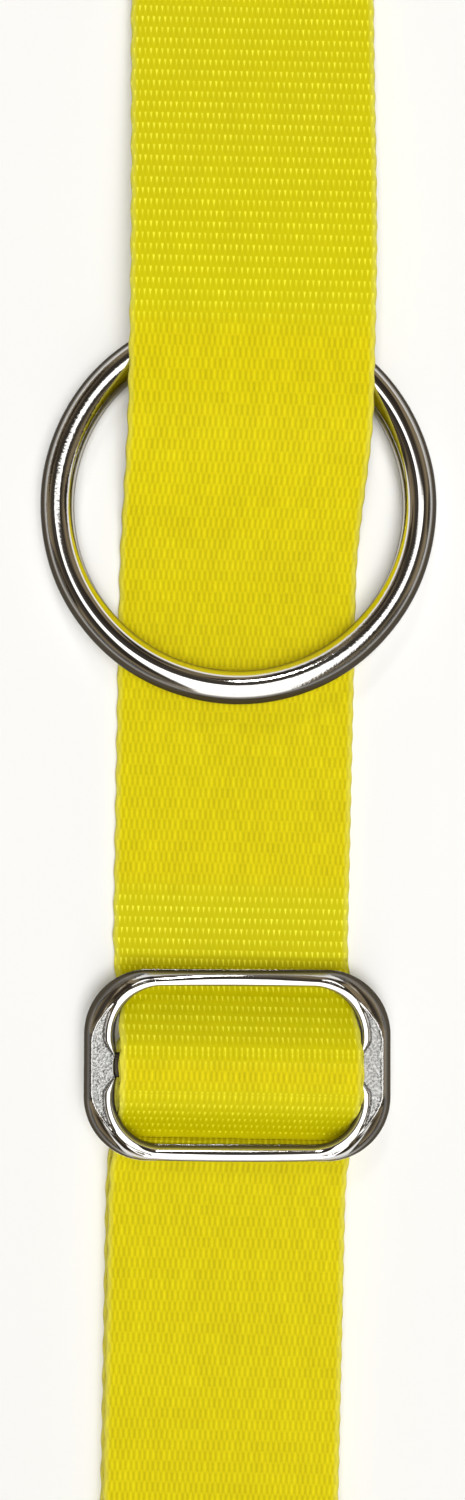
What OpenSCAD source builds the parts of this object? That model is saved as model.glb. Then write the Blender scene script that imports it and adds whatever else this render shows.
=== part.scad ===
// Adjustable web sling in flat 25 mm webbing: a sewn eye, a loose round ring that the web is
// threaded through, and a slide that sets the length of the loop at the other end.
// Millimetres. X runs across the web, Y along it towards the eye, Z up from the surface it lies on.

/* [Webbing] */
// Width of the webbing
web_w = 25; // [20:0.5:30]
// Thickness of the webbing
web_t = 1.1; // [0.9:0.1:1.4]
// Clearance between one layer of webbing and whatever lies on it or under it
lay_gap = 0.1; // [0.05:0.05:0.3]

/* [Ring] */
// Inside diameter of the ring
ring_id = 34; // [28:0.5:50]
// Diameter of the ring's round wire
wire_d = 3.5; // [2.5:0.1:5]
// How far the webbing stands off the ring's wire where it bridges it
ring_play = 1.4; // [1:0.1:3]
// How far the ring lies to the left of the webbing's middle
ring_side = 0.75; // [0:0.05:0.8]

/* [Slide] */
// Clearance between the webbing's edge and the slide's window, each side
window_side = 0.5; // [0.5:0.05:2]
// Width of the slide's two end walls at the windows
wall_w = 3; // [2:0.05:4]
// Width of the slide's top and bottom bars
rail_w = 1.65; // [1.2:0.05:3]
// Height of the clear space between those two bars, centre bar included
window_h = 16.5; // [15:0.5:22]
// Thickness of the slide's casting
slide_t = 1.8; // [1.5:0.1:2.4]
// Width of the hidden centre bar
bar_w = 2.6; // [2:0.1:3.2]
// Thickness of the centre bar
bar_t = 1.6; // [1.3:0.1:2]
// Radius of the slide's outer corners
slide_r = 6.7; // [5:0.1:8]
// Radius of the windows' outer corners
window_r = 5; // [3:0.1:6]
// Clearance between the webbing's edge and the teeth on each end wall
tooth_gap = 0.15; // [0.1:0.05:0.5]
// Length of each tooth along the end wall
tooth_l = 1.7; // [1.2:0.1:2.5]
// Angle that the slide sits turned on the webbing, in degrees
slide_skew = 0.9; // [0:0.1:1.5]
// Slope of the webbing where it climbs through the slide, in degrees
climb = 38; // [38:1:45]

/* [Lengths along the web] */
// Ring centre to the slide's centre
ring_to_slide = 58; // [50:1:120]
// Ring centre to the start of the eye's sewn lap
ring_to_lap = 60; // [45:1:160]
// Length of the eye's sewn lap
eye_lap = 18; // [14:1:40]
// Sewn lap to the far end of the eye
eye_len = 28; // [24:1:80]
// Slide's centre to the far end of the loop
slide_to_end = 66; // [62:1:160]
// Slide's centre to the cut end of the lap that is sewn round its bar
end_lap = 26; // [24:1:32]
// Middle radius of the webbing's turn in the eye and in the loop's end
turn_r = 3.1; // [2.9:0.1:6]

/* [Stitching] */
// Length of a bar tack across the webbing
tack_l = 20; // [14:0.5:22]
// Width of a bar tack along the webbing
tack_w = 2; // [1.5:0.1:3]
// Distance of a bar tack from the end of its lap
tack_in = 2.5; // [2:0.1:4]

/* [Hidden] */

$fn = 64;
bend_steps = 14;     // straight pieces in each rise or fall of the webbing
turn_steps = 18;     // straight pieces in each half turn of the webbing
rise_len = 12;       // length in which the eye and the loop open to their full height
full_len = 4;        // length over which the loop's end stays at its full height

web_colour = [0.85, 0.80, 0.05];
thread_colour = [0.80, 0.74, 0.05];
nickel_colour = [0.78, 0.77, 0.75];

// Heights of the webbing's middle: one, two or three layers up from the surface
layer_h = web_t + lay_gap;
z_one = web_t / 2;
z_two = z_one + layer_h;
z_three = z_two + layer_h;
z_turn = z_one + 2 * turn_r;

// The ring lies on the surface under the web at its top, and on the web at its bottom
wire_r = wire_d / 2;
ring_r = ring_id / 2 + wire_r;
ring_edge_y = sqrt(pow(ring_id / 2, 2) - pow(web_w / 2 + ring_side, 2));
ring_lean = asin(layer_h / (ring_r + ring_edge_y));
z_ring = wire_d + ring_play + web_t / 2;

// The end of the web turns round the centre bar; the front of the web crosses over that turn
window_w = web_w + 2 * window_side;
slide_w = window_w + 2 * wall_w;
slide_h = window_h + 2 * rail_w;
skew_slack = web_w / 2 * tan(slide_skew) + lay_gap;
wrap_r = bar_t / 2 + lay_gap + web_t / 2;
wrap_y = bar_w / 2 - bar_t / 2 + skew_slack;
cross_r = wrap_r + layer_h;

// The slide leans until its top bar lies on the web, either where the web climbs under it or where
// it still lies flat, and its height lets three layers pass under its bottom bar
rail_y = window_h / 2 - skew_slack;
climb_sine = (sin(climb) * (rail_y - wrap_y) - cross_r - web_t / 2 - lay_gap) / (cos(climb) * rail_y)
    - slide_t / (2 * rail_y);
flat_sine = 2 * layer_h / (rail_y + slide_h / 2 + skew_slack);
slide_sine = min(climb_sine, flat_sine);
slide_lean = asin(slide_sine);
slide_z = z_three + web_t / 2 + lay_gap + slide_t / 2 - slide_sine * rail_y;
z_bar = slide_z + cross_r;

// Past the bar both layers fall to the bottom bar; the front one is set out along Y, so that the
// two stay as far apart on the slope as they are where they lie flat
fall_start = bar_w / 2 - lay_gap;
fall_slope = 1.5 * (z_bar - z_three) / (window_h / 2 - fall_start - layer_h / 2);
fall_shift = layer_h * (sqrt(1 + fall_slope * fall_slope) - 1) / fall_slope + lay_gap;

// Places along Y, from the ring's centre, and then the shift that centres the whole part
lap_low = ring_to_lap;
lap_high = lap_low + eye_lap;
eye_end = lap_high + eye_len;
eye_turn = eye_end - turn_r - web_t / 2;
slide_y = -ring_to_slide;
loop_end = slide_y - slide_to_end;
loop_turn = loop_end + turn_r + web_t / 2;
loop_full = loop_turn + full_len;
loop_rise = loop_full + rise_len;
end_cut = slide_y - end_lap;
bridge_high = ring_r + wire_r + lay_gap;
bridge_low = ring_edge_y;
ring_down = 3 - ring_edge_y;
slide_top = slide_y + slide_h / 2 + 1;
window_low = slide_y - window_h / 2 + lay_gap;
shift_y = -(eye_end + loop_end) / 2;
web_x = ring_side;
climb_r = web_t;     // radius at the foot of the climb

// Smooth step from 0 to 1
function ease(t) = t * t * (3 - 2 * t);

// Points of an eased rise or fall between two [y, z] places, level at both ends
function bend(from, to) = [for (i = [0:bend_steps])
    [from[0] + (to[0] - from[0]) * i / bend_steps,
     from[1] + (to[1] - from[1]) * ease(i / bend_steps)]];

// Points of a half turn in the webbing, from its upper run to its lower one
function half_turn(y, z, r, way) = [for (i = [0:turn_steps])
    [y + way * r * sin(180 * i / turn_steps), z + r * cos(180 * i / turn_steps)]];

// Unit vector across the line at point i; at the two ends the line is level
function across(p, i) =
    let (last = len(p) - 1,
         ahead = p[min(i + 1, last)] - p[max(i - 1, 0)],
         dir = (i == 0 || i == last) ? [sign(ahead[0]), 0] : ahead / norm(ahead))
    [-dir[1], dir[0]];

// Outline of webbing that is web_t thick about a line of [y, z] points
function outline(p) = concat(
    [for (i = [0:len(p) - 1]) p[i] + across(p, i) * web_t / 2],
    [for (i = [len(p) - 1:-1:0]) p[i] - across(p, i) * web_t / 2]);

// A stretch of webbing along a line of [y, z] points
module web(p) {
    color(web_colour)
    translate([web_x - web_w / 2, shift_y, 0])
    rotate([90, 0, 90])
    linear_extrude(web_w)
    polygon(outline(p));
}

// A bar tack's thread, which runs through two layers from the surface up
module tack(y, z_top) {
    translate([web_x - tack_l / 2, shift_y + y - tack_w / 2, 0])
    cube([tack_l, tack_w, z_top]);
}

// Middles of the four bar tacks along Y, and the height of two sewn layers
eye_tack_outer_y = lap_high - tack_in;
eye_tack_inner_y = lap_low + tack_in;
end_tack_outer_y = end_cut + tack_in;
end_tack_inner_y = window_low - rail_w - tack_in - tack_w;
sewn_h = z_two + web_t / 2;

module eye_tacks() {
    tack(eye_tack_outer_y, sewn_h);
    tack(eye_tack_inner_y, sewn_h);
}

module end_tacks() {
    tack(end_tack_outer_y, sewn_h);
    tack(end_tack_inner_y, sewn_h);
}

// The open eye beyond the sewn lap
module webbing_eye() {
    web(concat(
        bend([lap_high, z_two], [lap_high + rise_len, z_turn]),
        half_turn(eye_turn, z_one + turn_r, turn_r, 1),
        [[lap_high, z_one]]));
}

// The cut end of the web, folded back under the lap
module webbing_eye_lap() {
    difference() {
        web([[lap_high, z_one], [lap_low, z_one]]);
        eye_tacks();
    }
}

// The web's upper layer in the eye's lap
module webbing_throat() {
    difference() {
        web([[lap_high, z_two], [lap_low, z_two]]);
        eye_tacks();
    }
}

// The strand from the eye's lap to the ring
module webbing_upper() {
    web(bend([lap_low, z_two], [bridge_high, z_ring]));
}

// The web over the ring's top, down through the ring and onto the surface
module webbing_ring_bend() {
    web(concat(
        [[bridge_high, z_ring]],
        bend([bridge_low, z_ring], [ring_down, z_one])));
}

// The strand from the ring to the slide
module webbing_middle() {
    web([[ring_down, z_one], [slide_top, z_one]]);
}

// The web up through the slide, over its centre bar and down again, where its edges give way to
// the window's round corners
module webbing_bar_bend() {
    top = [slide_y + wrap_y + cross_r * sin(climb), slide_z + cross_r * cos(climb)];
    foot_z = z_one + climb_r * (1 - cos(climb));
    foot_y = top[0] + (top[1] - foot_z) / tan(climb) + climb_r * sin(climb);
    difference() {
        web(concat(
            [[slide_top, z_one]],
            [for (i = [0:turn_steps / 3]) let (a = climb * i * 3 / turn_steps)
                [foot_y - climb_r * sin(a), z_one + climb_r * (1 - cos(a))]],
            [for (i = [0:turn_steps / 2]) let (a = climb * (1 - 2 * i / turn_steps))
                [slide_y + wrap_y + cross_r * sin(a), slide_z + cross_r * cos(a)]],
            bend([slide_y - fall_start - fall_shift, z_bar], [window_low, z_three])));
        casting(lay_gap);
    }
}

// The front strand of the loop, held up by the lap under it at one end and by the loop's turn
module webbing_front() {
    web([[window_low, z_three], [loop_rise, z_three]]);
}

// The turn at the loop's end
module webbing_loop_end() {
    web(concat(
        bend([loop_rise, z_three], [loop_full, z_turn]),
        half_turn(loop_turn, z_one + turn_r, turn_r, -1),
        [[loop_rise, z_one]]));
}

// The back strand of the loop
module webbing_return() {
    web([[loop_rise, z_one], [end_cut, z_one]]);
}

// The back strand where the web's end is sewn to it
module webbing_return_lap() {
    difference() {
        web([[end_cut, z_one], [window_low, z_one]]);
        end_tacks();
    }
}

// The web's end, up to the centre bar, round it and down again
module webbing_end_wrap() {
    difference() {
        web(concat(
            bend([window_low, z_one], [slide_y - wrap_y, slide_z - wrap_r]),
            [for (i = [0:turn_steps]) let (a = 180 * i / turn_steps)
                [slide_y + wrap_y + wrap_r * sin(a), slide_z - wrap_r * cos(a)]],
            bend([slide_y - fall_start, slide_z + wrap_r], [window_low + fall_shift, z_two]),
            [[window_low, z_two]]));
        casting(lay_gap);
    }
}

// The cut end that is sewn down on the back strand
module webbing_end_lap() {
    difference() {
        web([[window_low, z_two], [end_cut, z_two]]);
        end_tacks();
    }
}

// Round ring of welded wire
module ring() {
    color(nickel_colour)
    translate([0, shift_y + ring_r, wire_r])
    rotate([-ring_lean, 0, 0])
    translate([0, -ring_r, 0])
    rotate_extrude()
    translate([ring_r, 0])
    circle(wire_r);
}

// Flat rectangle with round corners, centred
module round_rect(w, h, r) {
    square([w - 2 * r, h], center = true);
    square([w, h - 2 * r], center = true);
    for (x = [-1, 1], y = [-1, 1])
        translate([x * (w / 2 - r), y * (h / 2 - r)])
        circle(r);
}

// Outline of the slide's window with its pointed teeth, made smaller all round by gap
module window(gap) {
    tip_x = web_w / 2 + tooth_gap - gap;
    difference() {
        round_rect(window_w - 2 * gap, window_h - 2 * gap, window_r - gap);
        for (x = [-1, 1], y = [-1, 1])
            polygon([
                [x * window_w / 2, y * (bar_w / 2 + tooth_l)],
                [x * tip_x, y * bar_w / 2],
                [x * window_w / 2, 0]
            ]);
    }
}

// The slide's frame without its centre bar, made larger all round by gap
module casting(gap) {
    translate([web_x, shift_y + slide_y, slide_z])
    rotate([-slide_lean, 0, slide_skew])
    translate([0, 0, -slide_t / 2 - gap])
    linear_extrude(slide_t + 2 * gap)
    difference() {
        round_rect(slide_w + 2 * gap, slide_h + 2 * gap, slide_r + gap);
        window(gap);
    }
}

// Die-cast slide: a frame with round corners and a centre bar across its window
module slide() {
    color(nickel_colour)
    union() {
        casting(0);
        translate([web_x, shift_y + slide_y, slide_z])
        rotate([-slide_lean, 0, slide_skew])
        rotate([90, 0, 90])
        translate([0, 0, -window_w / 2])
        linear_extrude(window_w)
        round_rect(bar_w, bar_t, bar_t / 2 - lay_gap);
    }
}

module eye_bar_tack_outer() {
    color(thread_colour) tack(eye_tack_outer_y, sewn_h);
}

module eye_bar_tack_inner() {
    color(thread_colour) tack(eye_tack_inner_y, sewn_h);
}

module end_bar_tack_outer() {
    color(thread_colour) tack(end_tack_outer_y, sewn_h);
}

module end_bar_tack_inner() {
    color(thread_colour) tack(end_tack_inner_y, sewn_h);
}

webbing_eye();
webbing_eye_lap();
webbing_throat();
webbing_upper();
webbing_ring_bend();
webbing_middle();
webbing_bar_bend();
webbing_front();
webbing_loop_end();
webbing_return();
webbing_return_lap();
webbing_end_wrap();
webbing_end_lap();
ring();
slide();
eye_bar_tack_outer();
eye_bar_tack_inner();
end_bar_tack_outer();
end_bar_tack_inner();
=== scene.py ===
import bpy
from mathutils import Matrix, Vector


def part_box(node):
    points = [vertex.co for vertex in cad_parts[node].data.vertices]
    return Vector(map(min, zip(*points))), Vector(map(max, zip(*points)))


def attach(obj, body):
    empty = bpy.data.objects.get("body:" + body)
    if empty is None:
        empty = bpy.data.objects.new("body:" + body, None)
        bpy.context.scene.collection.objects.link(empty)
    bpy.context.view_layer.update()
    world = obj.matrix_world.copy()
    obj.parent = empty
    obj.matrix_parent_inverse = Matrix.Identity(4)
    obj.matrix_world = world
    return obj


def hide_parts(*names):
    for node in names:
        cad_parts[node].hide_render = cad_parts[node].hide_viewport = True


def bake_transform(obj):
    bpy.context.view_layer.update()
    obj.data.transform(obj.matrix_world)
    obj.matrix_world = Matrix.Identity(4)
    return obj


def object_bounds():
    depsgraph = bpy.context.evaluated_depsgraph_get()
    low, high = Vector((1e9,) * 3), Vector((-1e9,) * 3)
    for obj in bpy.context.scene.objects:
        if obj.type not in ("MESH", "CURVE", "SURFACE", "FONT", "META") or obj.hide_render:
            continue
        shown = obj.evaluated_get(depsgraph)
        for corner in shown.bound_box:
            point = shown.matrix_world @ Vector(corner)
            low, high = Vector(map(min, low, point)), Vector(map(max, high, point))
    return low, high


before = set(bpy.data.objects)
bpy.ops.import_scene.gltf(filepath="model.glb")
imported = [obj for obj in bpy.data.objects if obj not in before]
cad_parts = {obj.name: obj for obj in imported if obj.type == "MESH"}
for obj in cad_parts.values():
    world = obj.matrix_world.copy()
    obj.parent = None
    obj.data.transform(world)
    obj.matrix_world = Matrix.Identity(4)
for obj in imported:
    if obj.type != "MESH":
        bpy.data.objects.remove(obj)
cad_box = [list(corner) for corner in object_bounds()]

import bmesh
import bpy
import math
import numpy as np

# The camera, the table and the lamps: a pale table top under one wide soft lamp, and a small lamp
# beyond the eye that puts points of light on the yarns. The camera hangs over the ring and the
# slide and looks almost straight down.
MM = 0.001
camera = bpy.data.objects.new("camera", bpy.data.cameras.new("camera"))
bpy.context.collection.objects.link(camera)
bpy.context.scene.camera = camera
camera_height = 0.150
camera_tilt = math.radians(2.0)
camera_roll = math.radians(-1.15)
looked_at = (-0.0002, -0.0163)
camera.location = (looked_at[0], looked_at[1] + camera_height * math.tan(camera_tilt),
                   camera_height)
camera.rotation_euler = (-camera_tilt, 0, -camera_roll)
camera.data.lens = 34.0
camera.data.clip_start = 0.005

table = bpy.data.objects.new("table_top", bpy.data.meshes.new("table_top"))
table_reach = 3.0
table_gap = 0.03 * MM
table.data.from_pydata(
    [(-table_reach, -table_reach, 0), (table_reach, -table_reach, 0),
     (table_reach, table_reach, 0), (-table_reach, table_reach, 0)], [], [(0, 1, 2, 3)])
table.location.z = cad_box[0][2] - table_gap
bpy.context.collection.objects.link(table)


def lamp(name, place, size, power, colour):
    """A square lamp at a place above the object, aimed at the middle of it."""
    light = bpy.data.objects.new(name, bpy.data.lights.new(name, "AREA"))
    light.data.shape = "RECTANGLE"
    light.data.size, light.data.size_y = size
    light.data.energy = power
    light.data.color = colour
    light.location = place
    light.rotation_mode = "QUATERNION"
    light.rotation_quaternion = light.location.to_track_quat("Z", "Y")
    bpy.context.collection.objects.link(light)
    return light


# The soft lamp only shades: what the plating reflects is the room below.
soft_lamp = lamp("soft_lamp", (0.10, -0.07, 0.62), (0.42, 0.42), 2.5, (1.0, 1.0, 1.0))
soft_lamp.visible_glossy = False
lamp("point_lamp", (-0.05, 0.42, 0.46), (0.10, 0.10), 0.5, (1.0, 0.99, 0.97))
scene = bpy.context.scene
scene.view_settings.view_transform = "Standard"


class Flow:
    """A socket among a material's nodes. Arithmetic on it adds Math nodes."""

    def __init__(self, tree, socket=None):
        self.tree, self.socket = tree, socket

    def add(self, kind, settings=(), inputs=(), output=0):
        """A new node, its settings first and then what its sockets hold; gives one output."""
        node = self.tree.nodes.new(kind)
        for name, value in dict(settings).items():
            if name == "stops":
                ramp = node.color_ramp.elements
                while len(ramp) < len(value):
                    ramp.new(0.5)
                for stop, (at, colour) in zip(ramp, value):
                    stop.position, stop.color = at, (*colour, 1)
            else:
                setattr(node, name, value)
        for name, value in dict(inputs).items():
            if isinstance(value, Flow):
                self.tree.links.new(value.socket, node.inputs[name])
            else:
                node.inputs[name].default_value = value
        return Flow(self.tree, node.outputs[output])

    def math(self, operation, *values):
        return self.add("ShaderNodeMath", {"operation": operation}, enumerate(values))

    def __add__(self, other):
        return self.math("ADD", self, other)

    def __sub__(self, other):
        return self.math("SUBTRACT", self, other)

    def __rsub__(self, other):
        return self.math("SUBTRACT", other, self)

    def __mul__(self, other):
        return self.math("MULTIPLY", self, other)

    def __truediv__(self, other):
        return self.math("DIVIDE", self, other)

    def __pow__(self, other):
        return self.math("POWER", self, other)

    __radd__, __rmul__ = __add__, __mul__

    def absolute(self):
        return self.math("ABSOLUTE", self)

    def floor(self):
        return self.math("FLOOR", self)

    def higher(self, other):
        return self.math("MAXIMUM", self, other)

    def clamped(self):
        return self.add("ShaderNodeClamp", {}, {"Value": self})

    def smooth(self, low, high):
        """0 below low, 1 above high, and a soft step between them."""
        return self.add("ShaderNodeMapRange", {"interpolation_type": "SMOOTHSTEP"},
                        {"Value": self, "From Min": low, "From Max": high})

    def mixed(self, first, second):
        """A colour between two colours; this value says how far."""
        return self.add("ShaderNodeMix", {"data_type": "RGBA"},
                        {"Factor": self, 6: first, 7: second}, 2)

    def parts(self):
        """The X, Y and Z of a vector."""
        split = self.add("ShaderNodeSeparateXYZ", {}, {0: self}).socket.node
        return [Flow(self.tree, output) for output in split.outputs]

    def noise(self, place, scale, detail):
        return self.add("ShaderNodeTexNoise", {},
                        {"Vector": place, "Scale": scale, "Detail": detail})


# The room: tan walls with darker patches, a dark ceiling and one bright window with a bar across
# it. The plating reflects it, and it adds a little light. The camera sees a pale backdrop
# instead, and so does a reflection that looks low, as it would over a wide pale table.
scene.world = bpy.data.worlds.new("room")
scene.world.use_nodes = True
room = Flow(scene.world.node_tree)
looking = room.add("ShaderNodeTexCoord")
to_x, to_y, to_z = looking.parts()
wall_stops = [(0.0, (0.07, 0.055, 0.035)), (0.15, (0.19, 0.15, 0.095)),
              (0.62, (0.24, 0.19, 0.115)), (0.82, (0.045, 0.037, 0.028)),
              (1.0, (0.06, 0.055, 0.05))]
walls = to_z.add("ShaderNodeValToRGB", {"stops": wall_stops}, {"Fac": to_z})
dark_patch = (0.03, 0.024, 0.018, 1)
walls = room.noise(looking, 2.2, 2.0).smooth(0.46, 0.58).mixed(walls, dark_patch)
window_centre, bar_angle, bar_shade = 0.06, 0.84, 0.45
window_side = 1 - (to_x - window_centre).absolute().smooth(0.25, 0.31)
window_top = 1 - to_y.smooth(0.20, 0.25)
window_foot = to_z.smooth(0.28, 0.36)
beside_bar = (to_y.math("ARCTAN2", to_y, to_z) + bar_angle).absolute().smooth(0.03, 0.06)
daylight = window_side * window_top * window_foot * (1 - bar_shade + bar_shade * beside_bar)
lit_room = daylight.mixed(walls, (1.7, 1.7, 1.68, 1))
backdrop = (0.93, 0.93, 0.925, 1)
from_camera = room.add("ShaderNodeLightPath", {}, {}, "Is Camera Ray")
low_down = 1 - to_z.smooth(0.20, 0.32)
lit_room = low_down.higher(from_camera).mixed(lit_room, backdrop)
background = scene.world.node_tree.nodes["Background"]
scene.world.node_tree.links.new(lit_room.socket, background.inputs["Color"])
background.inputs["Strength"].default_value = 1.0


def finish(name):
    """A new material, the start of its nodes, and a function that sets its shader's sockets."""
    material = bpy.data.materials.new(name)
    material.use_nodes = True
    flow = Flow(material.node_tree)
    shader = material.node_tree.nodes["Principled BSDF"]

    def put(**values):
        for key, value in values.items():
            socket = shader.inputs[key.replace("_", " ")]
            if isinstance(value, Flow):
                material.node_tree.links.new(value.socket, socket)
            else:
                socket.default_value = value

    return material, flow, put


# Near the object the table is lit and holds its shadow. Further off it turns into the backdrop.
table_finish, flow, put = finish("pale_table")
mottle = flow.add("ShaderNodeTexNoise", {}, {"Scale": 9.0, "Detail": 3.0})
put(Base_Color=mottle.mixed((0.89, 0.89, 0.885, 1), (0.92, 0.92, 0.915, 1)), Roughness=0.75)
on_table = flow.add("ShaderNodeTexCoord", {}, {}, "Object")
away = flow.add("ShaderNodeVectorMath", {"operation": "LENGTH"}, {0: on_table}, "Value")
from_camera = flow.add("ShaderNodeLightPath", {}, {}, "Is Camera Ray")
from_gloss = flow.add("ShaderNodeLightPath", {}, {}, "Is Glossy Ray")
lit_table = Flow(flow.tree, flow.tree.nodes["Principled BSDF"].outputs[0])
paper = flow.add("ShaderNodeEmission", {}, {"Color": backdrop, "Strength": 1.0})
surface = flow.add("ShaderNodeMixShader", {}, {
    0: away.smooth(0.16, 0.55) * (from_camera + from_gloss).clamped(), 1: lit_table, 2: paper})
flow.tree.links.new(surface.socket, flow.tree.nodes["Material Output"].inputs["Surface"])
table.data.materials.append(table_finish)

# The webbing: one strip of flat woven polyester, 25 mm wide. Warp yarns float over every other
# weft in rows, each row half a rib across from the last, and the weft turns back in small loops
# at the edges. It is cut here only where its strands move apart.
web_width, web_thick = 25.0, 1.1
rib, row = 0.575, 1.14
float_half, float_fullness = 0.66, 0.6
yarn_rise, yarn_middle, tight_loss = 0.09, 0.75, 0.55
edge_round, loop_zone = 0.6, 1.5
left_loop, left_pitch = 0.14, 3 * row
right_loop, right_pitch = 0.09, 2 * row
turn_radius, rise_length, full_length = 3.1, 12.0, 4.0
layer_step = web_thick + 0.1
heights = [web_thick / 2 + layer_step * i for i in range(3)]
turn_height = heights[0] + 2 * turn_radius
web_middle = sum(corner.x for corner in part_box("webbing_middle")) / 2 / MM


def ends(node):
    """A CAD node's lowest and highest Y, in millimetres."""
    low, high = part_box(node)
    return low.y / MM, high.y / MM


def eased_step(value, low, high):
    """0 below low, 1 above high, and a soft step between them."""
    t = np.clip((value - low) / (high - low), 0, 1)
    return t * t * (3 - 2 * t)


def sideways(y, z):
    """Where across the web's middle lies: slack web leans to one side where it stands high."""
    lean_over, level_height = 0.20, 3.9
    in_slide = eased_step(-y, 36, 41) - eased_step(-y, 56, 61)
    below_slide = eased_step(-y, 56, 64)
    return web_middle + lean_over * (z - level_height) + 0.25 * in_slide - 0.33 * below_slide


def eased(start, stop, steps=26):
    """Places on a rise or fall between two [y, z] places, level at both ends."""
    t = np.linspace(0, 1, steps)[:, None]
    y = start[0] + (stop[0] - start[0]) * t
    z = start[1] + (stop[1] - start[1]) * t * t * (3 - 2 * t)
    return np.hstack([y, z])


def arc(y, z, radius, first, last, steps=26):
    """Places on an arc round (y, z); 0 degrees is straight up and 90 is towards the eye."""
    a = np.radians(np.linspace(first, last, steps))[:, None]
    return np.hstack([y + radius * np.sin(a), z + radius * np.cos(a)])


def tight_and_glint_zone(y):
    """1 where the floats are pulled flat and carry painted glints on their ends, 0 where they
    stand full.
    """
    above_ring = eased_step(y, 25, 30)
    near_slide = eased_step(-y, 29, 33) * (1 - eased_step(-y, 56.5, 59))
    over_bar = np.exp(-((y + 49.5) / 2.4) ** 2)
    return np.clip(0.85 * above_ring + near_slide * (1 - over_bar), 0, 1)


def yarns(across, along):
    """Height of the warp's floats, 0 to 1, over a place in the web."""
    height = np.zeros_like(across)
    for neighbour in (-1, 0, 1):
        which = np.floor(along / row) + neighbour
        from_crown = (along / row - which - 0.5) / float_half
        dome = np.clip(1 - from_crown ** 2, 0, 1) ** float_fullness
        ridge = 0.5 + 0.5 * np.cos(2 * np.pi * (across / rib + 0.5 * np.mod(which, 2)))
        height = np.maximum(height, dome * ridge)
    return height


def loft(loops, around, closed=False, first=0):
    """Faces between loops of points that follow one another, numbered from first."""
    index = first + np.arange(loops * around).reshape(loops, around)
    if closed:
        index = np.vstack([index, index[:1]])
    beside = np.roll(index, -1, 1)
    faces = np.stack([index[:-1], beside[:-1], beside[1:], index[1:]], -1)
    return faces.reshape(-1, 4).tolist()


def end_caps(loops, around, first=0):
    """One face over each end of an open loft."""
    index = first + np.arange(loops * around).reshape(loops, around)
    return [index[0][::-1].tolist(), index[-1].tolist()]


def add_piece(name, points, faces, material, attributes=(), flat_faces=0):
    """A new object from points in millimetres; the last few of its faces may be flat ones."""
    mesh = bpy.data.meshes.new(name)
    mesh.from_pydata((np.reshape(points, (-1, 3)) * MM).tolist(), [], faces)
    for key, values in dict(attributes).items():
        values = np.asarray(values, np.float32).reshape(len(mesh.vertices), -1)
        kind, field = ("FLOAT", "value") if values.shape[1] == 1 else ("FLOAT_VECTOR", "vector")
        mesh.attributes.new(key, kind, "POINT").data.foreach_set(field, values.ravel())
    mesh.polygons.foreach_set(
        "use_smooth", [True] * (len(faces) - flat_faces) + [False] * flat_faces)
    mesh.materials.append(material)
    mesh.update()
    bm = bmesh.new()
    bm.from_mesh(mesh)
    bmesh.ops.recalc_face_normals(bm, faces=bm.faces)
    for edge in bm.edges:
        edge.smooth = len({face.smooth for face in edge.link_faces}) == 1
    bm.to_mesh(mesh)
    bm.free()
    piece = bpy.data.objects.new(name, mesh)
    bpy.context.collection.objects.link(piece)
    return piece


def strip(name, line, start, fine=True, press=None):
    """A stretch of webbing along a [y, z] line, whose weave starts at start millimetres.

    Its first side faces up where the line runs towards the eye, and down where it runs towards
    the loop.
    """
    line = np.asarray(line, float)
    line = line[np.r_[True, np.linalg.norm(np.diff(line, axis=0), axis=1) > 1e-6]]
    run = np.r_[0, np.cumsum(np.linalg.norm(np.diff(line, axis=0), axis=1))]
    s = np.linspace(0, run[-1], int(round(run[-1] / row * (5 if fine else 3))) + 1)
    centre = np.stack([np.interp(s, run, line[:, i]) for i in (0, 1)], 1)
    direction = np.gradient(centre, s, axis=0)
    for i in range(2):
        direction[:, i] = np.convolve(np.pad(direction[:, i], 2, "edge"), np.ones(5) / 5,
                                      "valid")
    direction /= np.linalg.norm(direction, axis=1)[:, None]
    normal = np.stack([-direction[:, 1], direction[:, 0]], 1)
    cells = int(round(web_width / rib)) * (4 if fine else 2)
    x = np.linspace(-web_width / 2, web_width / 2, cells + 1)
    from_edge = web_width / 2 - np.abs(x)
    body = np.sqrt(1 - (1 - np.minimum(from_edge, edge_round) / edge_round) ** 2)
    X, S = np.meshgrid(x, start + s)
    loops = np.where(X < 0, left_loop * (0.5 - 0.5 * np.cos(2 * np.pi * S / left_pitch)),
                     right_loop * (0.5 - 0.5 * np.cos(2 * np.pi * S / right_pitch)))
    near_edge = np.clip((np.abs(X) - web_width / 2 + loop_zone) / loop_zone, 0, 1)
    tight_and_glint = tight_and_glint_zone(centre[:, :1])
    sides = []
    for side in (1, -1):
        floats = yarns(X, S + (row if side < 0 else 0))
        relief = yarn_rise * (1 - tight_loss * tight_and_glint) * (floats - yarn_middle)
        lift = body * (web_thick / 2 + relief)
        place_y = centre[:, :1] + side * normal[:, :1] * lift
        place_z = centre[:, 1:] + side * normal[:, 1:] * lift
        place_x = X - np.sign(X) * loops * near_edge + sideways(centre[:, :1], centre[:, 1:])
        sides.append(np.stack([place_x, place_y, place_z], -1))
    if press:
        sides = press(sides)
    around = np.concatenate([sides[0], sides[1][:, -2:0:-1]], 1)
    loops_x = np.concatenate([X, X[:, -2:0:-1]], 1)
    loops_s = np.concatenate([S, S[:, -2:0:-1]], 1)
    n, m = around.shape[:2]
    caps = []
    for first, order in ((0, 1), ((n - 1) * m, -1)):
        index = first + np.arange(m)
        top = index[:len(x)]
        under = np.r_[top[0], index[len(x):][::-1], top[-1]]
        for i in range(len(x) - 1):
            corners = [top[i], under[i], under[i + 1], top[i + 1]]
            caps.append(list(dict.fromkeys(corners))[::order])
    weave = np.stack([loops_x, loops_s, tight_and_glint * np.ones_like(loops_x)], -1)
    piece = add_piece(name, around, loft(n, m) + caps, web_finish,
                      {"weave": weave}, len(caps))
    return piece, run[-1]
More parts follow.
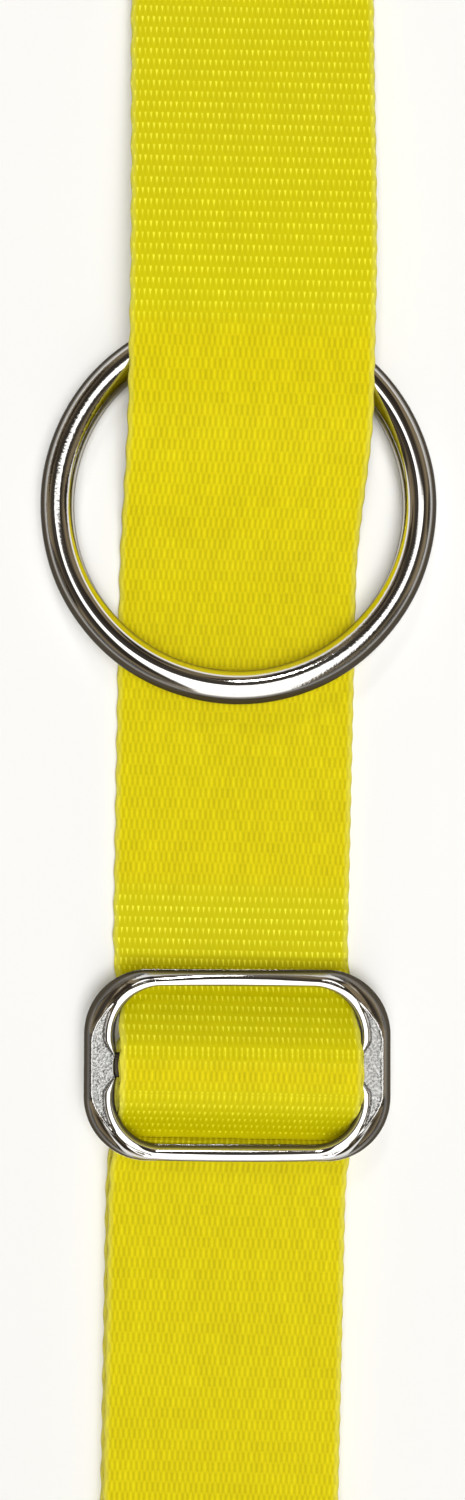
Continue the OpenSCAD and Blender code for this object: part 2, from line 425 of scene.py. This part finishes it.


# Its finish follows the same floats: each is a yellow of its own, with painted shade making it
# darker down its sides. Where the web is drawn tight the rows are even and each float ends in a
# small painted highlight, a bright wedge where light would glint on its end.
web_finish, flow, put = finish("yellow_webbing")
across, along, tight_and_glint = flow.add(
    "ShaderNodeAttribute", {"attribute_name": "weave"}, {}, "Vector").parts()


def pair(first, second):
    """Two values as one vector."""
    return flow.add("ShaderNodeCombineXYZ", {}, {0: first, 1: second})


def crowns(shift):
    """How near a place is to the crown of a float in its own row or the next one."""
    which = (along / row).floor() + shift
    parity = which.math("PINGPONG", which, 1.0)
    from_crown = (along / row - which - 0.5) / float_half
    dome = (1.0 - from_crown * from_crown).clamped()
    turns = across / rib + parity * 0.5
    off_centre = turns.math("PINGPONG", turns, 0.5)
    ridge = (1.0 - off_centre * 2.0).clamped()
    return dome ** float_fullness * ridge.smooth(0.05, 0.95), turns, which, off_centre


crown, turns, which, off_centre = crowns(0.0)
crown = crown.higher(crowns(1.0)[0]).higher(crowns(-1.0)[0])
own = flow.add("ShaderNodeTexWhiteNoise", {"noise_dimensions": "2D"},
               {"Vector": pair((turns + 0.5).floor(), which)})
blotch = flow.noise(pair(across * 0.1, along * 0.05), 3.0, 4.0)
strand = flow.noise(pair(across * 9.0, along * 1.1), 2.2, 3.0)
# Painted shade: the tone falls away from each float's crown, so the floats are darker down their
# sides and in the dips between them.
tone = (crown * 0.50 + own * 0.15 + strand * 0.50 + blotch * 0.22 - 0.185).clamped()
full_yellow = tone.add("ShaderNodeValToRGB", {"stops": [
    (0.0, (0.47, 0.38, 0.0)), (0.45, (0.655, 0.55, 0.0)), (0.8, (0.77, 0.665, 0.001)),
    (1.0, (0.92, 0.83, 0.015))]}, {"Fac": tone})
calm = (crown * 0.25 + strand * 0.45 + blotch * 0.3).clamped()
tight_yellow = calm.mixed((0.53, 0.475, 0.0, 1), (0.68, 0.62, 0.0, 1))
yellow = tight_and_glint.mixed(full_yellow, tight_yellow)
# Painted highlight: in the tight zone each float ends in a small wedge of pale yellow, a painted
# glint where light would catch its end.
in_row = along / row - which
taper = 0.26 - (in_row - 0.12) * 0.40
glint_wedge = ((taper - off_centre).smooth(-0.03, 0.10) * in_row.smooth(0.06, 0.16)
         * (1 - in_row.smooth(0.56, 0.72)))
painted_glint = glint_wedge * tight_and_glint * (0.38 + own * 0.52)
yellow = painted_glint.mixed(yellow, (1.0, 0.95, 0.05, 1))
rim_mask = across.absolute().smooth(web_width / 2 - 0.8, web_width / 2 - 0.25)
put(Base_Color=(rim_mask * 0.35).mixed(yellow, (0.80, 0.76, 0.15, 1)),
    Roughness=0.52 - crown * 0.10 + strand * 0.08 - painted_glint * 0.2,
    Specular_IOR_Level=0.12,
    Normal=flow.add("ShaderNodeBump", {}, {
        "Strength": 0.30, "Distance": 0.05 * MM, "Height": strand + crown * 0.9}))

# The sewn eye at the upper end: the web turns back on itself and is sewn down by two bar tacks.
high_end = ends("webbing_eye")[1]
lap_low, lap_high = ends("webbing_eye_lap")
eye_turn = high_end - turn_radius - web_thick / 2
eye_line = np.vstack([
    [[lap_low, heights[0]]],
    arc(eye_turn, heights[0] + turn_radius, turn_radius, 180, 0),
    eased((lap_high + rise_length, turn_height), (lap_high, heights[1])),
    [[lap_low, heights[1]]]])
eye, eye_length = strip("webbing_eye", eye_line, 0.0, fine=False)
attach(eye, "strap")
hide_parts("webbing_eye", "webbing_eye_lap", "webbing_throat")
place = eye_length

# From the eye the web rises on to the ring's top wire.
bridge_high = ends("webbing_upper")[0]
bridge_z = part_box("webbing_ring_bend")[1].z / MM - web_thick / 2
upper, length = strip(
    "webbing_upper", eased((lap_low, heights[1]), (bridge_high, bridge_z), 60), place)
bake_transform(upper)
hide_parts("webbing_upper")
place += length

# Over the ring's top wire and down through the ring the web keeps the bend that the ring gives it.
ring_down = ends("webbing_ring_bend")[0]
bridge_low = 19.651
crest_line = np.vstack([
    [[bridge_high, bridge_z]], eased((bridge_low, bridge_z), (ring_down, heights[0]), 60)])
crest, length = strip("webbing_ring_bend", crest_line, place)
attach(crest, "ring_bend")
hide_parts("webbing_ring_bend")
place += length

# Between the ring and the slide it lies on the table, in two pieces that meet halfway.
slide_top = ends("webbing_middle")[0]
halfway = (ring_down + slide_top) / 2
for name, first, last, bodies in (
        ("webbing_middle_high", ring_down, halfway, ("ring_bend", "strap")),
        ("webbing_middle_low", halfway, slide_top, ("strap", "adjuster"))):
    middle, length = strip(name, [[first, heights[0]], [last, heights[0]]], place)
    first * MM
    last * MM
    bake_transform(middle)
    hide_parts("webbing_middle")
    place += length

# At the slide the web climbs over the hidden centre bar and dives under the bottom bar, below
# the casting's two bars.
slide_y, slide_z = -49.0, 3.996
slide_lean, slide_skew = math.radians(3.634), math.radians(0.9)
slide_aside = 0.3
window_wide, window_high, window_round = 25.5, 16.5, 5.0
slide_thick = 1.8
bar_wide, bar_thick = 2.6, 1.6
clearance = 0.1
bar_gap, bar_inset, away_slope, softness = 0.05, 0.2, 1.3, 0.12
climb = math.radians(38.0)
wrap_radius = bar_thick / 2 + clearance + web_thick / 2
wrap_y = bar_wide / 2 - bar_thick / 2 + web_width / 2 * math.tan(slide_skew) + clearance
cross_radius = wrap_radius + layer_step
window_low = ends("webbing_end_wrap")[0]
top_y = slide_y + wrap_y + cross_radius * math.sin(climb)
top_z = slide_z + cross_radius * math.cos(climb)
foot_radius = web_thick
foot_z = heights[0] + foot_radius * (1 - math.cos(climb))
foot_y = top_y + (top_z - foot_z) / math.tan(climb) + foot_radius * math.sin(climb)
fall_start, fall_shift = 1.2, 0.545


def under_casting(depth):
    """Lowers a layer under the casting's two bars; depth is the layer's own.

    The second side is put at least 0.12 mm below the first. Where the line runs towards the loop
    the first side is the lower one, so the layer is left that thin there.
    """
    def press(sides):
        first, second = sides
        x = np.minimum(np.abs(first[..., 0] - web_middle - slide_aside), web_width / 2 - 0.4)
        y = first[..., 1] - slide_y
        corner = np.clip(x - (window_wide / 2 - window_round), 0, window_round)
        bar_edge = window_high / 2 - window_round + np.sqrt(window_round ** 2 - corner ** 2)
        bottom = slide_z - y * math.sin(slide_lean) - slide_thick / 2 - bar_gap - depth
        limit = bottom + np.maximum(bar_edge - bar_inset - np.abs(y), 0) * away_slope
        over = np.log1p(np.exp(np.clip((first[..., 2] - limit) / softness, -30, 30))) * softness
        first[..., 2] -= over
        second[..., 2] = np.minimum(second[..., 2] - over * 0.8, first[..., 2] - 0.12)
        return [first, second]
    return press


bar_line = np.vstack([
    [[slide_top, heights[0]]],
    [[foot_y - foot_radius * math.sin(a), heights[0] + foot_radius * (1 - math.cos(a))]
     for a in np.linspace(0, climb, 10)],
    arc(slide_y + wrap_y, slide_z, cross_radius, math.degrees(climb), 0),
    eased((slide_y - fall_start - fall_shift, slide_z + cross_radius),
          (window_low, heights[2]))])
over_bar, length = strip("webbing_bar_bend", bar_line, place, press=under_casting(0.0))
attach(over_bar, "adjuster")
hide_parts("webbing_bar_bend")
place += length

# Below the slide the web runs on as the loop's front strand, turns at the loop's end and comes
# back on the table.
loop_rise = ends("webbing_front")[0]
end_cut = ends("webbing_end_lap")[0]
front, length = strip(
    "webbing_front", [[window_low, heights[2]], [loop_rise, heights[2]]], place)
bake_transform(front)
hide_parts("webbing_front")
place += length

loop_end = ends("webbing_loop_end")[0]
loop_turn = loop_end + turn_radius + web_thick / 2
loop_line = np.vstack([
    eased((loop_rise, heights[2]), (loop_turn + full_length, turn_height)),
    arc(loop_turn, heights[0] + turn_radius, turn_radius, 0, -180),
    [[loop_rise, heights[0]]]])
loop, length = strip("webbing_loop_end", loop_line, place, fine=False)
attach(loop, "loop_end")
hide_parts("webbing_loop_end")
place += length

back, length = strip("webbing_return", [[loop_rise, heights[0]], [end_cut, heights[0]]], place,
                     fine=False)
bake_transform(back)
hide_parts("webbing_return")
place += length

# The web's end goes round the centre bar, under the first layer, and is sewn down on itself.
end_line = np.vstack([
    [[end_cut, heights[0]]],
    eased((window_low, heights[0]), (slide_y - wrap_y, slide_z - wrap_radius)),
    arc(slide_y + wrap_y, slide_z, wrap_radius, 180, 0),
    eased((slide_y - fall_start, slide_z + wrap_radius), (window_low + fall_shift, heights[1])),
    [[end_cut, heights[1]]]])
tail, length = strip("webbing_end", end_line, place, fine=False,
                     press=under_casting(layer_step))
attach(tail, "adjuster")
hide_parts("webbing_return_lap", "webbing_end_wrap", "webbing_end_lap")

# The ring: steel wire 3.5 mm thick, bent round, butt welded under the web and plated with bright
# nickel. The plating is smooth, and a little grainy where the wire was ground. On the outer upper
# side of the wire lies painted shade: a dark colour standing in for the dark surroundings it
# mirrors.
wire, ring_radius = 1.75, 18.75
ring_lean = math.radians(2.339)
ring_pivot_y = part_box("ring")[1].y / MM - wire
weld_angle, weld_width, weld_rise = np.pi / 2, 0.05, 0.09

# "cast" says how rough the metal was left, and "shade" how much painted shade, a dark colour, lies
# on it.
nickel, flow, put = finish("bright_nickel")
spot = flow.add("ShaderNodeTexCoord", {}, {}, "Object")
cast = flow.add("ShaderNodeAttribute", {"attribute_name": "cast"}, {}, "Fac")
shade = flow.add("ShaderNodeAttribute", {"attribute_name": "shade"}, {}, "Fac")
fine_grain = flow.noise(spot, 4200.0, 2.0)
coarse_grain = flow.noise(spot, 1500.0, 3.0)
ground = flow.noise(spot, 120.0, 3.0).smooth(0.50, 0.62) * 0.6
pitted = (cast * (0.55 + 0.45 * fine_grain.smooth(0.62, 0.42))).clamped()
# The third colour is painted shade: a dark colour put where the metal would mirror dark
# surroundings.
bright, matte, painted_shade_colour = (0.86, 0.84, 0.81, 1), (0.37, 0.37, 0.36, 1), (0.075, 0.062, 0.045, 1)
put(Base_Color=shade.mixed(pitted.mixed(bright, matte), painted_shade_colour),
    Metallic=1.0 - shade * 0.5,
    Specular_Tint=(0.16, 0.14, 0.11, 1), Specular_IOR_Level=0.1,
    Roughness=0.05 + ground * 0.05 + cast * 0.20,
    Normal=flow.add("ShaderNodeBump", {}, {
        "Strength": 0.8, "Distance": 0.08 * MM,
        "Height": (fine_grain + coarse_grain) * (cast + ground * 0.03 + 0.003)}))

round_ring = np.linspace(0, 2 * np.pi, 480, endpoint=False)[:, None]
round_wire = np.linspace(0, 2 * np.pi, 56, endpoint=False)[None, :]
weld = np.exp(-(((round_ring - weld_angle) / weld_width) ** 2)) * weld_rise
wobble = 0.012 * np.sin(5 * round_ring + 1.0) + 0.008 * np.sin(11 * round_ring)
wire_here = wire + weld + wobble * 0.5
from_centre = ring_radius + wobble + wire_here * np.cos(round_wire)
lying_y = from_centre * np.sin(round_ring) - ring_radius
lying_z = wire_here * np.sin(round_wire)
ring_points = np.stack([
    from_centre * np.cos(round_ring),
    ring_pivot_y + lying_y * math.cos(ring_lean) + lying_z * math.sin(ring_lean),
    wire - lying_y * math.sin(ring_lean) + lying_z * math.cos(ring_lean)], -1)

# The painted shade is full on the outer side up to 0.72 of the wire's height, thin on the inner
# side and gone on the lower half.
wire_up = np.sin(round_wire)
wire_painted_shade = np.where(np.cos(round_wire) > 0, np.clip((0.88 - wire_up) / 0.16, 0, 1),
                     0.35 * np.clip((0.45 - wire_up) / 0.4, 0, 1)) * np.ones_like(round_ring)
wire_painted_shade *= np.clip((wire_up + 0.35) / 0.3, 0, 1)
scuffs = sum(0.16 * np.exp(-((round_ring - angle) / 0.45) ** 2) for angle in (2.75, 5.35))
ring = add_piece(
    "ring", ring_points, loft(*ring_points.shape[:2], closed=True), nickel,
    {"cast": scuffs * np.ones_like(round_wire), "shade": wire_painted_shade})
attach(ring, "ring")
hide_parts("ring")

# The slide: one zinc die casting, plated like the ring, that hangs on the web alone. A polished
# bead runs round the window and breaks into two points on each end wall, which grip the web; the
# broad walls behind the bead are left as cast.
slide_wide, slide_high, slide_round = 32.0, 19.8, 6.7
tip_x, tip_y, notch_x = 12.55, 1.35, 12.72
tip_curve = 3.4
parting_z = -0.25


def outline():
    """Matching outer, inner and bead-width values from the top middle to the side's middle."""
    outer, inner, bead = [], [], []
    straight_wide, straight_high = slide_wide / 2 - slide_round, slide_high / 2 - slide_round
    round_x, round_y = window_wide / 2 - window_round, window_high / 2 - window_round
    for t in np.linspace(0, 1, 46, endpoint=False):
        outer.append((t * straight_wide, slide_high / 2))
        inner.append((t * round_x, window_high / 2))
        bead.append(1.0)
    for a in np.radians(np.linspace(90, 0, 50, endpoint=False)):
        outer.append((straight_wide + slide_round * math.cos(a),
                      straight_high + slide_round * math.sin(a)))
        inner.append((round_x + window_round * math.cos(a), round_y + window_round * math.sin(a)))
        bead.append(1.0)
    tip_angle = math.asin((round_y - tip_y) / tip_curve)
    tip_sink = (window_wide / 2 - tip_x) - tip_curve * (1 - math.cos(tip_angle))
    for t in np.linspace(0, 1, 26, endpoint=False):
        outer.append((slide_wide / 2, straight_high * (1 - t) + t))
        inner.append((window_wide / 2 - tip_curve + tip_curve * math.cos(tip_angle * t)
                      - tip_sink * t * t, round_y - tip_curve * math.sin(tip_angle * t)))
        bead.append(1.0 - 0.7 * max(0.0, t - 0.3) / 0.7)
    for t in np.linspace(0, 1, 12, endpoint=False):
        outer.append((slide_wide / 2, 1.0 - t))
        inner.append((tip_x + (notch_x - tip_x) * math.sin(t * math.pi / 2), tip_y * (1 - t)))
        bead.append(0.3 * max(0.0, 1 - 3 * t))
    outer.append((slide_wide / 2, 0.0))
    inner.append((notch_x, 0.0))
    bead.append(0.0)
    return np.array(outer), np.array(inner), np.array(bead)[:, None] * (1, 1)


def mirrored(part, is_place=True):
    """One quarter mirrored into a closed loop that starts at the top middle."""
    flips = ((1, -1), (-1, -1), (-1, 1)) if is_place else ((1, 1),) * 3
    return np.concatenate([part, part[-2::-1] * flips[0], part[1:] * flips[1],
                           part[-2:0:-1] * flips[2]])


def quarter_round(distance, radius):
    return np.sqrt(np.clip(1 - (1 - np.minimum(distance, radius) / radius) ** 2, 0, 1))


outer, inner, bead = outline()
outer, inner, bead = mirrored(outer), mirrored(inner), mirrored(bead, False)[:, :1]
gap = inner - outer
wide = np.linalg.norm(gap, axis=1)[:, None]

# Stations across the wall: close together at both edges, whatever the wall's width.
edge_zone = np.minimum(1.15, wide * 0.49)
near_edges = 1 - np.cos(np.linspace(0, 1, 15) * np.pi / 2)
from_outer = np.concatenate([
    edge_zone * near_edges,
    edge_zone + (wide - 2 * edge_zone) * np.linspace(0, 1, 12)[1:-1],
    wide - edge_zone * near_edges[::-1]], 1)
from_inner = wide - from_outer
stations = outer[:, None, :] + (gap / wide)[:, None, :] * from_outer[..., None]
corner_x = np.abs(stations[..., 0]) - (slide_wide / 2 - slide_round)
corner_y = np.abs(stations[..., 1]) - (slide_high / 2 - slide_round)
to_edge = slide_round - (np.hypot(np.maximum(corner_x, 0), np.maximum(corner_y, 0))
                         + np.minimum(np.maximum(corner_x, corner_y), 0))

# The wall's section: a raised rim, a sunken cast ground and a crowned bead on the two end walls,
# which run together into one crowned bar above and below the window.
bar = 1 - eased_step(np.abs(inner[:, :1]), 8.2, 11.8)
lower_bar = bar * (inner[:, 1:] < 0)
rim = 0.95 + 0.85 * eased_step(np.abs(stations[..., 1]), 2.5, 6.5) * (1 - bar)
bead_width = np.maximum(bead, 0.02)
recess = (eased_step(from_inner, 0.86 * bead_width, 1.12 * bead_width)
          * eased_step(to_edge, rim - 0.16, rim + 0.16)
          * eased_step(wide - bead_width - rim, 0.0, 0.7))
crest_at = (0.60 + 0.05 * bar + 0.35 * lower_bar) * bead_width
crest_radius = 2.0 - 0.7 * bar - 0.3 * lower_bar * (from_inner > crest_at)
rounded = np.maximum(-((from_inner - crest_at) ** 2) / (2 * crest_radius), -0.28 - 0.3 * bar)
ridge = 0.06 * np.exp(-((to_edge - rim) / 0.16) ** 2) * (1 - bar)
level = rounded * (1 - recess) - 0.24 * recess + ridge
upper_z = (parting_z + (slide_thick / 2 - parting_z)
           * quarter_round(to_edge, (rim + 0.1) * (1 - bar) + 0.40 * bar)
           * quarter_round(from_inner, 0.12 + 0.22 * bead_width) + level)
under_z = parting_z - ((slide_thick / 2 + parting_z) * quarter_round(from_outer, 0.45)
                         * quarter_round(from_inner, 0.35))
under_side = np.dstack([stations, under_z])[:, -2:0:-1]
sections = np.concatenate([np.dstack([stations, upper_z]), under_side], 1)
# Painted shade: a dark colour over the outer rounded edge, standing in for dark surroundings the
# metal would mirror, and along the bead's inner edge, standing in for shadow in the window; the
# underside gets a little of it too.
edge_painted_shade = np.maximum(
    1 - eased_step(to_edge, 0.1 + 0.3 * (1 - bar), 0.65 + 0.2 * (1 - bar)),
    0.9 * (1 - eased_step(from_inner, 0.05, 0.35)) * bead_width)
cast_here = np.concatenate([recess, np.full(under_side.shape[:2], 0.15)], 1)
painted_shade_here = np.concatenate([edge_painted_shade, np.full(under_side.shape[:2], 0.1)], 1)


def on_strap(points):
    """Puts points of the casting where it lies: turned, leaning and up on the web."""
    x, y, z = points[..., 0], points[..., 1], points[..., 2]
    x, y = (x * math.cos(slide_skew) - y * math.sin(slide_skew),
            x * math.sin(slide_skew) + y * math.cos(slide_skew))
    return np.stack([web_middle + slide_aside + x,
                     slide_y + y * math.cos(slide_lean) + z * math.sin(slide_lean),
                     slide_z - y * math.sin(slide_lean) + z * math.cos(slide_lean)], -1)


slide = add_piece("slide", on_strap(sections), loft(*sections.shape[:2], closed=True), nickel,
                  {"cast": cast_here, "shade": painted_shade_here})
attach(slide, "adjuster")
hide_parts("slide")

# The centre bar, which the web hides but for its ends, is part of the same casting. It sinks
# into the end walls. All of it carries full painted shade, so its ends show dark beside the web.
bar_loops, bar_around = 60, 40
round_bar = np.linspace(0, 2 * np.pi, bar_around, endpoint=False)
bar_y = (np.sign(np.cos(round_bar)) * (bar_wide / 2 - bar_thick / 2)
         + bar_thick / 2 * np.cos(round_bar))
bar_z = bar_thick / 2 * np.sin(round_bar)
bar_x = np.linspace(-notch_x - 0.5, notch_x + 0.5, bar_loops)[:, None]
sunk = 0.35 * eased_step(np.abs(bar_x), 10.5, 12.2)
bar_points = np.stack(np.broadcast_arrays(bar_x, bar_y, bar_z * (1 - sunk) - sunk), -1)
bar_ends = end_caps(bar_loops, bar_around)
centre_bar = add_piece(
    "slide_centre_bar", on_strap(bar_points), loft(bar_loops, bar_around) + bar_ends, nickel,
    {"cast": np.full((bar_loops, bar_around), 0.8),
               "shade": np.ones((bar_loops, bar_around))}, len(bar_ends))
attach(centre_bar, "adjuster")

# The bar tacks: each a close zigzag of polyester thread through both layers, whose stitches lie
# on the upper and the lower face and stand a little proud of the web.
thread_finish, flow, put = finish("yellow_thread")
spun = flow.noise(flow.add("ShaderNodeTexCoord", {}, {}, "Object"), 5200.0, 3.0)
put(Base_Color=spun.smooth(0.3, 0.7).mixed((0.52, 0.44, 0.003, 1), (0.80, 0.72, 0.03, 1)),
    Roughness=0.45 + spun * 0.15, Sheen_Weight=0.1,
    Normal=flow.add("ShaderNodeBump", {}, {
        "Strength": 0.4, "Distance": 0.04 * MM, "Height": spun}))
thread_r, thread_around = 0.17, 8
stitch_pitch, stitch_steps, stitch_dip = 0.42, 7, 0.10


def stitched(low, high, face_z):
    """Loops of points round a zigzag of thread that lies on one face of the web."""
    stitches = int((high[0] - low[0]) / stitch_pitch)
    holes = [np.array((low[0] + (high[0] - low[0]) * i / stitches,
                       low[1] if i % 2 else high[1], face_z)) for i in range(stitches + 1)]
    line = np.array([a + (b - a) * t + np.array((0, 0, -stitch_dip * (2 * t - 1) ** 4))
                     for a, b in zip(holes[:-1], holes[1:])
                     for t in np.linspace(0, 1, stitch_steps)])
    ahead = np.gradient(line, axis=0)
    ahead /= np.linalg.norm(ahead, axis=1)[:, None]
    out = np.cross(ahead, (0, 0, 1.0))
    out /= np.linalg.norm(out, axis=1)[:, None]
    up = np.cross(out, ahead)
    turn = np.linspace(0, 2 * np.pi, thread_around, endpoint=False)[None, :, None]
    return line[:, None] + thread_r * (np.cos(turn) * out[:, None] + np.sin(turn) * up[:, None])


for name, body in (("eye_bar_tack_outer", "strap"), ("eye_bar_tack_inner", "strap"),
                   ("end_bar_tack_outer", "adjuster"), ("end_bar_tack_inner", "adjuster")):
    low, high = [[c / MM for c in corner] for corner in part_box(name)]
    upper_thread = stitched(low, high, high[2] + 0.02)
    lower_thread = stitched(low, high, low[2] + thread_r * 0.9)
    count = len(upper_thread)
    faces = []
    for first in (0, count * thread_around):
        faces += loft(count, thread_around, first=first)
        faces += end_caps(count, thread_around, first)
    tack = add_piece(name + "_thread", np.concatenate([upper_thread, lower_thread]), faces,
                     thread_finish)
    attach(tack, body)
    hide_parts(name)
